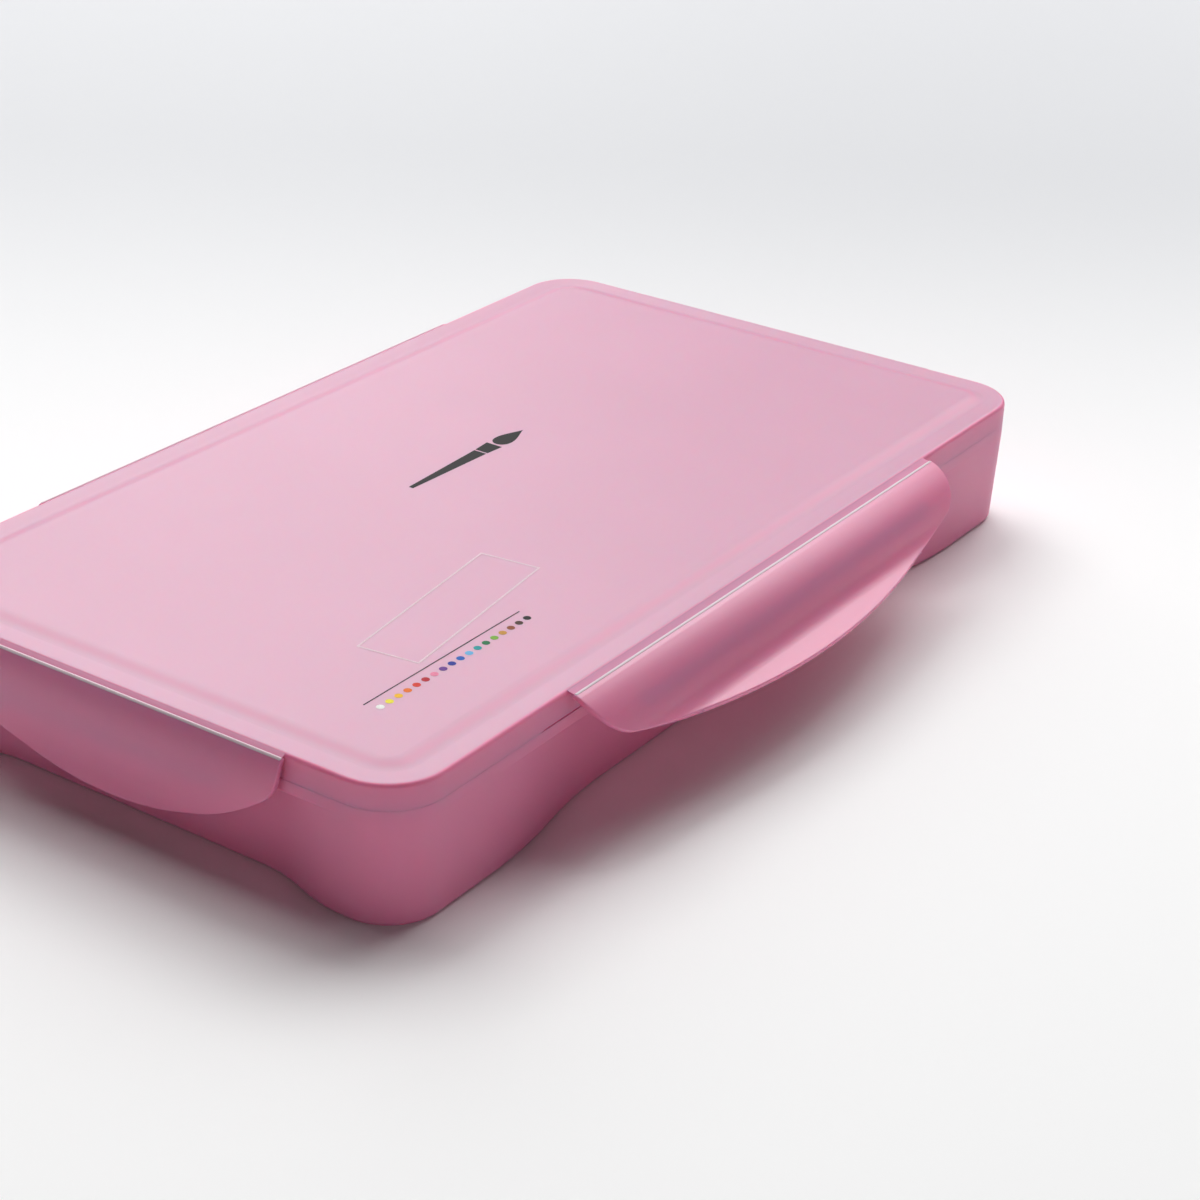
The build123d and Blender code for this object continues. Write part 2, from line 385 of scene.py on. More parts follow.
@dataclass(frozen=True)
class WetGouache(Finish):
    """Gouache paste as filled: opaque, dense in pigment, wet and smooth."""

    colour: str
    ripple_mm: float = 5.0
    ripple_depth_mm: float = 0.25

    def inputs(self, surface: Node) -> dict[str, object]:
        """Return the shader's inputs for wet, swirled paste."""
        ripple = noise_at(surface, self.ripple_mm, Detail=4.0, Distortion=1.2)
        # binder that rises between the pigment leaves slightly deeper patches
        return {
            "Base_Color": toned(srgb(self.colour), mapped(ripple, (0.35, 0.65), (0.9, 1.04))),
            "Roughness": 0.28,
            "Normal": bumped(ripple, self.ripple_depth_mm, 0.5),
            "IOR": 1.45,
        }


@dataclass(frozen=True)
class ScreenInk(Finish):
    """Screen-printed ink: thin, nearly matt, with fine pinholes of the mesh."""

    colour: str
    mesh_mm: float = 0.3
    gloss: float = 0.15

    def inputs(self, surface: Node) -> dict[str, object]:
        """Return the shader's inputs for finely speckled ink."""
        speck = noise_at(surface, self.mesh_mm, Detail=1.0)
        return {
            "Base_Color": toned(srgb(self.colour), mapped(speck, (0.3, 0.8), (0.95, 1.15))),
            "Roughness": 0.5,
            "Specular_IOR_Level": self.gloss,
        }


@dataclass(frozen=True)
class Laminate(Finish):
    """White laminate of the table, painted greyer far behind the box as a painted falloff of the
    light.
    """

    painted_falloff_turn: float = -34.0
    painted_falloff_reach: float = 0.38

    def inputs(self, surface: Node) -> dict[str, object]:
        """Return the shader's inputs for a tone that fades along one direction."""
        tree, place = surface.id_data, surface.outputs["Object"]
        # painted falloff of the light: the table turns greyer along one direction, behind the box
        turn = (0.0, 0.0, radians(self.painted_falloff_turn))
        turned = add_node(tree, "Mapping", Vector=place, Rotation=turn).outputs[0]
        behind = add_node(tree, "SeparateXYZ", Vector=turned).outputs["X"]
        painted_falloff = mapped(behind, (0.0, self.painted_falloff_reach), smooth=True)
        return {"Base_Color": mixed(painted_falloff, "#FCFCFC", "#D3D4D7"), "Roughness": 0.6}


class Paint(Enum):
    """The eighteen colours, in the order of the cups."""

    white = "#F2F1EC"
    lemon = "#F3E33F"
    yellow = "#F4BC1E"
    orange = "#EC7322"
    vermilion = "#DA3A28"
    crimson = "#B7172B"
    pink = "#EB86A6"
    violet = "#6B3590"
    ultramarine = "#1F2F96"
    cobalt = "#1C5CB8"
    sky = "#6BB3E0"
    turquoise = "#1C9A9E"
    green = "#167242"
    leaf_green = "#7BAE3A"
    ochre = "#C68F3A"
    sienna = "#8F4926"
    umber = "#482F22"
    black = "#111113"


# ---- Shells with a rounded plan ---------------------------------------------


@dataclass(frozen=True)
class Scoop:
    """How far the box's sides swing back behind the flaps, for the fingers."""

    depth: float
    half_length: Pair
    half_run: Pair

    def at(self, along: float, side: int) -> float:
        """Return the depth at a place along a side, in millimetres.

        Args:
            along: Distance from the middle of the side, in millimetres.
            side: 0 for the long sides and 1 for the short ones.
        """
        run = self.half_run[side]
        from_end = self.half_length[side] + run - abs(along)
        if from_end <= 0:
            return 0.0
        if from_end >= 2 * run:
            return self.depth
        radius = (run**2 + (self.depth / 2) ** 2) / self.depth
        if from_end <= run:
            return radius - sqrt(radius**2 - from_end**2)
        return self.depth - radius + sqrt(radius**2 - (2 * run - from_end) ** 2)


@dataclass(frozen=True)
class Ring:
    """One loop of a shell's profile, in millimetres.

    Attributes:
        inset: Distance inside the plan's outline.
        height: Height above the table.
        scooped: Whether the loop follows the finger scoops.
        rounding: Radius of the edge along the loop.
        lip: Whether the inset never passes the scoop's own depth.
        relief: How far the loop lifts beside and behind the flaps.
    """

    inset: float
    height: float
    scooped: bool = False
    rounding: float = 0.0
    lip: bool = False
    relief: float = 0.0


@dataclass
class RoundedShell:
    """A moulding whose plan is a rounded rectangle, made loop by loop."""

    length: float
    width: float
    corner: float
    centre: Pair = (0.0, 0.0)
    corner_segments: int = 14
    side_cuts: tuple[int, int] = (0, 0)
    rounding_segments: int = 3
    scoop: Scoop | None = None
    relief_half_length: Pair = (0.0, 0.0)
    relief_fade: float = 0.4

    def outline(self, bm: Mesh) -> list[Edge]:
        """Draw the plan's outline in an empty mesh and return its edges."""
        bmesh.ops.create_grid(bm, x_segments=1, y_segments=1, size=0.5)
        bmesh.ops.scale(bm, vec=(self.length, self.width, 1), verts=bm.verts)
        round_off(bm, bm.verts[:], self.corner, self.corner_segments, "VERTICES")
        bmesh.ops.delete(bm, geom=bm.faces[:], context="FACES_ONLY")
        straight = (self.length - 2 * self.corner, self.width - 2 * self.corner)
        for side in (0, 1):
            if self.side_cuts[side]:
                sides = [e for e in bm.edges if abs(e.calc_length() - straight[side]) < 1e-3]
                bmesh.ops.subdivide_edges(bm, edges=sides, cuts=self.side_cuts[side])
        return bm.edges[:]

    def placed(self, home: Vector, ring: Ring) -> Vector:
        """Return where a point of the outline lies on a ring.

        Args:
            home: The point on the plan's outline.
            ring: The ring that it moves to.
        """
        reach = Vector((self.length / 2 - self.corner, self.width / 2 - self.corner))
        core = Vector((max(-reach.x, min(reach.x, home.x)), max(-reach.y, min(reach.y, home.y))))
        outward = (home.xy - core).normalized()
        inset, height = ring.inset, ring.height
        sides = [side for side in (0, 1) if abs(outward[1 - side]) > STRAIGHT_SIDE]
        if sides:
            side, along = sides[0], home.xy[sides[0]]
            if self.scoop and (ring.scooped or ring.lip):
                depth = self.scoop.at(along, side)
                inset = min(inset, depth) if ring.lip else inset + depth
            if ring.relief:
                past = abs(along) - self.relief_half_length[side]
                height += ring.relief * max(0.0, min(1.0, -past / self.relief_fade))
        elif ring.lip:
            inset = 0.0
        place = core + outward * (self.corner - inset) + Vector(self.centre)
        return Vector((place.x, place.y, height))

    def cap(self, bm: Mesh, loop: list[Edge]) -> None:
        """Close a loop with fans from four points, so that a flat end has no slivers.

        Args:
            bm: The shell in the making, in millimetres.
            loop: The loop's edges.
        """
        home = bm.verts.layers.float_vector["home"]
        size = (self.length, self.width)
        verts, _ = extrude_loop(bm, loop)
        for vert in verts:
            spot = [copysign(size[i] / 4, vert[home][i]) for i in (0, 1)]
            vert.co.xy = Vector(spot) + Vector(self.centre)
        bmesh.ops.remove_doubles(bm, verts=list(verts), dist=CAP_MERGE)
        four = {vert for vert in verts if vert.is_valid}
        bmesh.ops.contextual_create(bm, geom=edges_within(four))

    def build(self, rings: Sequence[Ring], capped: bool = True) -> Mesh:
        """Extrude the outline through all the rings.

        Args:
            rings: The rings in order along the profile.
            capped: Whether the first and the last ring are closed.

        Returns:
            The shell as a bmesh, in metres.
        """
        bm = bmesh.new()
        home = bm.verts.layers.float_vector.new("home")
        rounding = bm.edges.layers.float.new("rounding")
        loop = self.outline(bm)
        verts = set(bm.verts)
        for vert in verts:
            vert[home] = vert.co
        ends = []
        for number, ring in enumerate(rings):
            if number:
                verts, loop = extrude_loop(bm, loop)
            for vert in verts:
                vert.co = self.placed(vert[home], ring)
            for edge in loop:
                edge[rounding] = ring.rounding
            ends = ends or loop
        for edges in (ends, loop) if capped else ():
            self.cap(bm, edges)
        bmesh.ops.remove_doubles(bm, verts=bm.verts, dist=MERGE_DISTANCE)
        for radius in sorted({ring.rounding for ring in rings} - {0.0}):
            close = [e for e in bm.edges if abs(e[rounding] - radius) < ROUNDING_MATCH]
            round_off(bm, [e for e in close if e.is_manifold], radius, self.rounding_segments)
        finish_mesh(bm)
        return bm


# ---- The box ----------------------------------------------------------------


@dataclass(frozen=True)
class NodeBox:
    """The bounding box of a CAD node, in millimetres."""

    length: float
    width: float
    bottom: float
    top: float
    middle: Pair

    @classmethod
    def of(cls, node: str) -> "NodeBox":
        """Read a node's box from the frame."""
        low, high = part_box(node)
        middle = ((low.x + high.x) / 2 / MM, (low.y + high.y) / 2 / MM)
        return cls((high.x - low.x) / MM, (high.y - low.y) / MM, low.z / MM, high.z / MM, middle)


@dataclass
class Enclosure:
    """The sizes that the base and the lid share, measured from the frame."""

    corner: float = 13.0
    long_flap: float = 146.0
    short_flap: float = 88.0
    rise: float = 0.5
    side_cuts: tuple[int, int] = (140, 72)
    length: float = field(init=False)
    width: float = field(init=False)
    top: float = field(init=False)
    skirt_bottom: float = field(init=False)

    def __post_init__(self) -> None:
        """Read the outside of the lid from the frame."""
        lid = NodeBox.of("lid")
        self.length, self.width = lid.length, lid.width
        self.top, self.skirt_bottom = lid.top, lid.bottom

    def half_flap(self) -> Pair:
        """Return half the length of a long flap and of a short one."""
        return self.long_flap / 2, self.short_flap / 2

    def shell(self, **extra: object) -> RoundedShell:
        """Return a shell with the box's plan, and any more of a shell's fields."""
        return RoundedShell(self.length, self.width, self.corner, **extra)


@dataclass
class BaseTray:
    """The lower half: drafted and scooped walls, latch ledge, rim and tray."""

    box: Enclosure
    finish: MouldedPolypropylene
    wall: float = 1.8
    floor: float = 2.0
    draft: float = 2.5
    foot_rounding: float = 1.2
    parting_gap: float = 0.025
    ledge: float = 2.85
    ledge_rounding: float = 0.4
    rim_inset: float = 2.05
    rim_wall: float = 1.5
    scoop_depth: float = 4.5
    scoop_to_corner: Pair = (17.0, 2.0)
    tray_rounding: float = 1.6
    rim_rounding: float = 0.35

    def build(self) -> None:
        """Build the tray and seat it on its body."""
        box = self.box
        half_flap = box.half_flap()
        half_side = (box.length / 2 - box.corner, box.width / 2 - box.corner)
        run = tuple(half_side[i] - self.scoop_to_corner[i] - half_flap[i] for i in (0, 1))
        scoop = Scoop(self.scoop_depth, half_flap, run)
        shell = box.shell(side_cuts=box.side_cuts, scoop=scoop)
        ledge_top = box.skirt_bottom - self.parting_gap
        ledge_bottom = ledge_top - self.ledge
        rim_top = NodeBox.of("base_box").top
        lean = tan(radians(self.draft))
        inner = self.rim_inset + self.rim_wall
        radius = self.ledge_rounding
        lip = [
            Ring(radius * (1 - cos(turn)), ledge_bottom + radius * (1 - sin(turn)), lip=True)
            for turn in (pi / 2, pi / 3, pi / 6)
        ]
        tray = self.wall + (rim_top - self.floor) * lean
        rings = [
            Ring(ledge_bottom * lean, 0.0, scooped=True, rounding=self.foot_rounding),
            Ring(0.0, ledge_bottom, scooped=True),
            *lip,
            Ring(0.0, ledge_bottom + radius),
            Ring(0.0, ledge_top),
            Ring(self.rim_inset, ledge_top),
            Ring(self.rim_inset, rim_top, rounding=self.rim_rounding),
            Ring(inner, rim_top, rounding=self.rim_rounding + SECOND_PASS),
            Ring(inner, ledge_top),
            Ring(self.wall + (box.top - ledge_top) * lean, ledge_top, scooped=True),
            Ring(tray, self.floor, scooped=True, rounding=self.tray_rounding),
        ]
        piece = make_piece("base_tray", shell.build(rings), self.finish.material())
        seat(piece, "base", "pink_polypropylene", "base_box")


@dataclass
class LidShell:
    """The lift-off lid: a flat plate with a raised middle and a thin skirt."""

    box: Enclosure
    finish: MouldedPolypropylene
    painted_glow_finish: MouldedPolypropylene
    plate: float = 1.8
    skirt_wall: float = 1.8
    edge_rounding: float = 0.95
    border_ends: Pair = (0.6, 0.3)
    border_lead: float = 0.02
    border_dip: float = 0.25
    plateau_inset: float = 5.4
    roll_run: float = 4.6
    roll_steps: int = 10
    skirt_rounding: float = 0.12
    print_clearance: float = 0.03
    rib_inset: float = 3.8
    rib_wall: float = 1.0
    rib_depth: float = 1.5
    rib_rounding: float = 0.2
    relief: float = 0.3
    relief_reach: Pair = (8.0, -1.0)
    slot_inset: float = 0.1
    slot_wall: float = 0.9
    slot_clearance: float = 0.05

    def build(self) -> None:
        """Build the lid and the strip of painted glow in its slots, and seat them on its body."""
        box = self.box
        half_flap = box.half_flap()
        reach = tuple(half_flap[i] + self.relief_reach[i] for i in (0, 1))
        shell = box.shell(side_cuts=box.side_cuts, relief_half_length=reach)
        edge = box.top - box.rise
        underside = edge - self.plate
        rib_inner, rib_foot = self.rib_inset + self.rib_wall, underside - self.rib_depth
        # a border that dips inwards, a soft crease, and a roll up to the raised middle
        foot = edge - self.border_dip
        roll = [
            Ring(self.edge_rounding + self.border_ends[0], edge - self.border_lead),
            Ring(self.plateau_inset - self.border_ends[1], foot),
        ]
        for step in range(self.roll_steps + 1):
            share = step / self.roll_steps
            lift = (box.rise + self.border_dip - self.print_clearance) * share**2 * (3 - 2 * share)
            roll.append(Ring(self.plateau_inset + self.roll_run * share, foot + lift))
        skirt = {"height": box.skirt_bottom, "relief": self.relief}
        rings = [
            *reversed(roll),
            Ring(0.0, edge, rounding=self.edge_rounding),
            Ring(0.0, **skirt),
            Ring(self.skirt_wall, rounding=self.skirt_rounding, **skirt),
            Ring(self.skirt_wall, underside),
            Ring(self.rib_inset, underside),
            Ring(self.rib_inset, rib_foot, rounding=self.rib_rounding),
            Ring(rib_inner, rib_foot, rounding=self.rib_rounding + SECOND_PASS),
            Ring(rib_inner, underside),
        ]
        piece = make_piece("lid_shell", shell.build(rings), self.finish.material())
        seat(piece, "lid", "pink_polypropylene", "lid")
        self.painted_slot_glow()

    def painted_slot_glow(self) -> None:
        """Build the strip inside the skirt that the slots beside the flaps show: a painted glow in
        saturated pink, for the light that comes through the plastic there.
        """
        low = self.box.skirt_bottom + self.slot_clearance
        high = self.box.skirt_bottom + 2 * self.relief
        outer, inner = self.slot_inset, self.slot_inset + self.slot_wall
        section = ((outer, low), (outer, high), (inner, high), (inner, low), (outer, low))
        strip = self.box.shell().build([Ring(*corner) for corner in section], capped=False)
        piece = make_piece("lid_slot_backing", strip, self.painted_glow_finish.material())
        seat(piece, "lid", "pink_polypropylene")


class Side(Enum):
    """The four sides of the box, by the way that each faces."""

    front = (0, -1)
    back = (0, 1)
    left = (-1, 0)
    right = (1, 0)


@dataclass(frozen=True)
class FlapShape:
    """A flap's outline, and the section of its plate: a belly, then a neck that flares the lip."""

    length: float
    depth: float
    sweep: float
    shoulder: float
    belly_radius: float = 17.5
    belly_start: float = 24.0
    belly_turn: float = 43.0
    neck_radius: float = 7.0
    neck_turn: float = 45.0


@dataclass
class LatchFlap:
    """A latch flap: an S-curved plate whose lower edge is one long sweep."""

    box: Enclosure
    side: Side
    shape: FlapShape
    angle: float
    finish: MouldedPolypropylene
    web_finish: MouldedPolypropylene
    bead_finish: MouldedPolypropylene
    wall: float = 1.25
    start: float = 0.3
    hinge_wall: float = 0.5
    thinning: float = 2.6
    hinge_out: float = 0.45
    hinge_drop: float = 0.6
    standoff: float = 0.05
    edge_rounding: float = 0.28
    edge_turns: tuple[float, ...] = (0.0, 30.0, 60.0, 90.0)
    columns: int = 72
    shoulder_columns: int = 16
    belly_rows: int = 16
    neck_rows: int = 12
    lip_rows: int = 5
    first_row: float = 0.4
    web_wall: float = 0.3
    web_drop: float = 0.14
    web_root: float = 0.45
    web_tip: Pair = (0.2, 0.8)
    web_arch: float = 0.05
    web_cells: tuple[int, int] = (60, 10)
    web_short: float = 0.8
    bead: float = 0.45
    bead_proud: float = 0.12
    bead_sunk: float = 0.3
    bead_above: float = 0.1
    bead_rounding: float = 0.2
    rib_height: float = 0.7
    rib_lead: float = 1.7
    rib_end: float = 14.0
    rib_tip: float = 1.05
    ledge_drop: float = 8.25
    nibs: tuple[float, ...] = ()
    nib_size: Triple = (0.48, 0.24, 0.24)
    nib_place: Pair = (0.02, 0.55)

    def local_frame(self) -> Matrix:
        """Return the matrix from (along, down the chord, outward) to the box's frame."""
        facing = Vector((*self.side.value, 0.0))
        along = Vector((facing.y, -facing.x, 0.0))
        turn = radians(self.angle)
        chord = facing * sin(turn) - Vector((0, 0, cos(turn)))
        outward = along.cross(chord)
        half = (self.box.length if self.side.value[0] else self.box.width) / 2
        edge = self.box.top - self.box.rise
        origin = facing * (half + self.hinge_out) + Vector((0, 0, edge - self.hinge_drop))
        matrix = Matrix((along, chord, outward)).transposed().to_4x4()
        matrix.translation = origin
        return TO_METRES @ matrix

    def section(self, run: float) -> Triple:
        """Return a point of the inner face's section.

        Args:
            run: Distance along the section from the hinge.

        Returns:
            Its place down the chord and outward from it, and where it heads.
        """
        down, out = 0.0, -self.hinge_out + self.standoff
        shape = self.shape
        heading = radians(shape.belly_start)
        turns = (-radians(shape.belly_turn), radians(shape.neck_turn))
        for radius, turn in zip((shape.belly_radius, shape.neck_radius), turns):
            part = min(run, radius * abs(turn))
            new = heading + copysign(part / radius, turn)
            side = copysign(radius, turn)
            down += side * (sin(new) - sin(heading))
            out -= side * (cos(new) - cos(heading))
            heading, run = new, run - part
        return down + run * cos(heading), out + run * sin(heading), heading

    def run_at(self, down: float) -> float:
        """Return the distance along the section at which it is that far down."""
        low, high = 0.0, 3 * self.shape.depth
        for _ in range(40):
            middle = (low + high) / 2
            if self.section(middle)[0] < down:
                low = middle
            else:
                high = middle
        return low

    def wrapped(self, along: float, down: float, lift: float) -> Vector:
        """Return where a point of the flat plate lies once the plate is curved.

        Args:
            along: Distance from the middle of the flap.
            down: Distance from the hinge, down the chord.
            lift: Distance outward from the inner face.
        """
        run = self.run_at(down)
        thick = min(1.0, run / self.thinning)
        lift *= (self.hinge_wall + (self.wall - self.hinge_wall) * thick * (2 - thick)) / self.wall
        down, out, heading = self.section(run)
        return Vector((along, down - sin(heading) * lift, out + cos(heading) * lift))

    def outline(self, place: int, inset: float) -> Pair:
        """Return a point of the plate's outline.

        Args:
            place: Number of the point, from one end of the hinge to the other.
            inset: How far inside the outline it lies.

        Returns:
            Distance from the middle and distance down the chord.
        """
        shape = self.shape
        half = self.columns // 2
        number = place - 1 - half - self.shoulder_columns
        sweep_top = shape.depth - shape.sweep
        centre = shape.length / 2 - shape.shoulder
        spread = shape.sweep - shape.shoulder
        touch = asin(centre / spread)
        if abs(number) <= half:
            turn = touch * number / half
            reach = shape.sweep - inset
            return reach * sin(turn), sweep_top + reach * cos(turn)
        share = (abs(number) - half) / self.shoulder_columns
        if share > 1:
            return copysign(shape.length / 2 - inset, number), self.start + inset
        turn = touch + (pi / 2 - touch) * share
        reach = shape.shoulder - inset
        drop = sweep_top + sqrt(spread**2 - centre**2)
        return copysign(centre + reach * sin(turn), number), drop + reach * cos(turn)

    def rows(self) -> list[float]:
        """Return how far down the plate is cut across, so that it can curve."""
        belly = self.shape.belly_radius * radians(self.shape.belly_turn)
        neck = self.shape.neck_radius * radians(self.shape.neck_turn)
        lip = self.run_at(self.shape.depth) - belly - neck
        runs = [belly * step / self.belly_rows for step in range(1, self.belly_rows)]
        runs += [belly + neck * step / self.neck_rows for step in range(self.neck_rows + 1)]
        runs += [belly + neck + lip * step / self.lip_rows for step in range(1, self.lip_rows)]
        downs = [self.section(run)[0] for run in runs]
        return [down for down in downs if down > self.start + self.first_row]

    def plate(self) -> Mesh:
        """Build the curved plate in the flap's own frame."""
        bm = bmesh.new()
        number = bm.verts.layers.int.new("place")
        total = self.columns + 2 * self.shoulder_columns + 3
        bmesh.ops.create_circle(bm, cap_ends=False, segments=total, radius=1.0)
        for index, vert in enumerate(bm.verts):
            vert[number] = index
        radius = self.edge_rounding
        turns = [radians(angle) for angle in self.edge_turns]
        top = self.wall - radius
        upper = [(radius * (1 - sin(t)), top + radius * cos(t)) for t in turns]
        lower = [(inset, self.wall - lift) for inset, lift in reversed(upper)]
        verts, loop = set(bm.verts), bm.edges[:]
        bmesh.ops.contextual_create(bm, geom=loop)
        for step, (inset, lift) in enumerate(upper + lower):
            if step:
                verts, loop = extrude_loop(bm, loop)
            for vert in verts:
                vert.co = (*self.outline(vert[number], inset), lift)
        bmesh.ops.contextual_create(bm, geom=loop)
        for down in self.rows():
            everything = bm.verts[:] + bm.edges[:] + bm.faces[:]
            plane = {"plane_co": (0, down, 0), "plane_no": (0, 1, 0)}
            bmesh.ops.bisect_plane(bm, geom=everything, dist=CUT_SNAP, **plane)
        for vert in bm.verts:
            vert.co = self.wrapped(*vert.co)
        return bm

    def add_bar(self, bm: Mesh, corners: Sequence[Pair], reach: float) -> None:
        """Add a bar along the flap with the section given.

        Args:
            bm: The mesh that gets the bar.
            corners: The section's corners, down the chord and outward.
            reach: Half the bar's length.
        """
        verts = [bm.verts.new((-reach, down, out)) for down, out in corners]
        end = bm.faces.new(verts)
        made = bmesh.ops.extrude_face_region(bm, geom=[end], use_keep_orig=True)["geom"]
        bmesh.ops.translate(bm, vec=(2 * reach, 0, 0), verts=verts_in(made))

    def add_latch_rib(self, bm: Mesh) -> None:
        """Add the rib that clicks under the ledge, square above and sloped below."""
        upper, lower = self.ledge_drop, self.ledge_drop + self.rib_height
        foot = lower + self.rib_lead
        corners = (
            (upper, self.section(self.run_at(upper))[1] + self.wall / 2),
            (upper, -self.rib_tip),
            (lower, -self.rib_tip),
            (foot, self.section(self.run_at(foot))[1] + self.wall / 2),
        )
        self.add_bar(bm, corners, self.shape.length / 2 - self.rib_end)

    def add_nibs(self, bm: Mesh) -> None:
        """Add what is left of the mould's gates along the lower edge."""
        for place in self.nibs:
            sweep = self.shape.sweep
            depth = self.shape.depth - sweep + sqrt(sweep**2 - place**2)
            below, lift = self.nib_place
            spot = Matrix.Translation(self.wrapped(place, depth + below, self.wall * lift))
            size = Matrix.Diagonal((*self.nib_size, 1.0))
            bmesh.ops.create_icosphere(bm, subdivisions=2, radius=1.0, matrix=spot @ size)

    def bead_with_painted_highlight(self) -> None:
        """Build the bead along the hinge, whitened by the bending of the web and painted paler
        still as a painted highlight, so that its face in shade reads light.
        """
        bm = bmesh.new()
        high = self.wrapped(0.0, self.start, self.wall)
        low = self.wrapped(0.0, self.start + self.bead, self.wall)
        corners = (
            (high.y - self.bead_above, high.z - self.bead_sunk),
            (high.y - self.bead_above, high.z + self.bead_proud),
            (low.y, low.z + self.bead_proud),
            (low.y, low.z - self.bead_sunk),
        )
        self.add_bar(bm, corners, self.shape.length / 2 - self.edge_rounding)
        round_off(bm, bm.edges[:], self.bead_rounding, 3)
        piece = self.finished(f"hinge_bead_{self.side.name}", bm, self.bead_finish)
        seat(piece, f"flap_{self.side.name}", "pink_polypropylene")

    def web(self) -> None:
        """Build the living hinge, which bends between the lid and the flap."""
        matrix = self.local_frame()
        turn = radians(self.angle)
        facing = Vector((0.0, sin(turn), cos(turn)))
        up = Vector((0.0, -cos(turn), sin(turn)))
        drop = self.hinge_drop - self.web_drop
        root = up * drop - facing * (self.hinge_out + self.web_root)
        past, lift = self.web_tip
        tip = self.wrapped(0.0, self.start + past, self.wall * lift)
        dip = (root + tip) / 2 + up * self.web_arch
        along, across = self.web_cells
        bm = bmesh.new()
        bmesh.ops.create_grid(bm, x_segments=along, y_segments=across, size=0.5)
        for vert in bm.verts:
            share = 0.5 - vert.co.y
            bend = root * (1 - share) ** 2 + dip * 2 * share * (1 - share) + tip * share**2
            vert.co = Vector((vert.co.x * (self.shape.length - self.web_short), bend.y, bend.z))
        bmesh.ops.recalc_face_normals(bm, faces=bm.faces)
        if sum(face.normal.z for face in bm.faces) < 0:
            bmesh.ops.reverse_faces(bm, faces=bm.faces)
        bmesh.ops.solidify(bm, geom=bm.faces[:], thickness=self.web_wall)
        name = f"hinge_web_{self.side.name}"
        piece = self.finished(name, bm, self.web_finish)
        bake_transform(piece)

    def finished(self, name: str, bm: Mesh, finish: Finish) -> Piece:
        """Bring a mesh from the flap's own frame to the box's and make it a piece.

        Args:
            name: Name of the piece.
            bm: The mesh, in millimetres in the flap's own frame.
            finish: What the piece is made of.
        """
        finish_mesh(bm, self.local_frame())
        return make_piece(name, bm, finish.material(), flat_faces=False)

    def build(self) -> None:
        """Build the flap with its rib and nibs, its whitened bead with its painted highlight, and
        its web.
        """
        bm = self.plate()
        self.add_latch_rib(bm)
        self.add_nibs(bm)
        node = f"flap_{self.side.name}"
        seat(self.finished(f"latch_{node}", bm, self.finish), node, "pink_polypropylene", node)
        self.bead_with_painted_highlight()
        self.web()


# ---- Cups, paint and films --------------------------------------------------


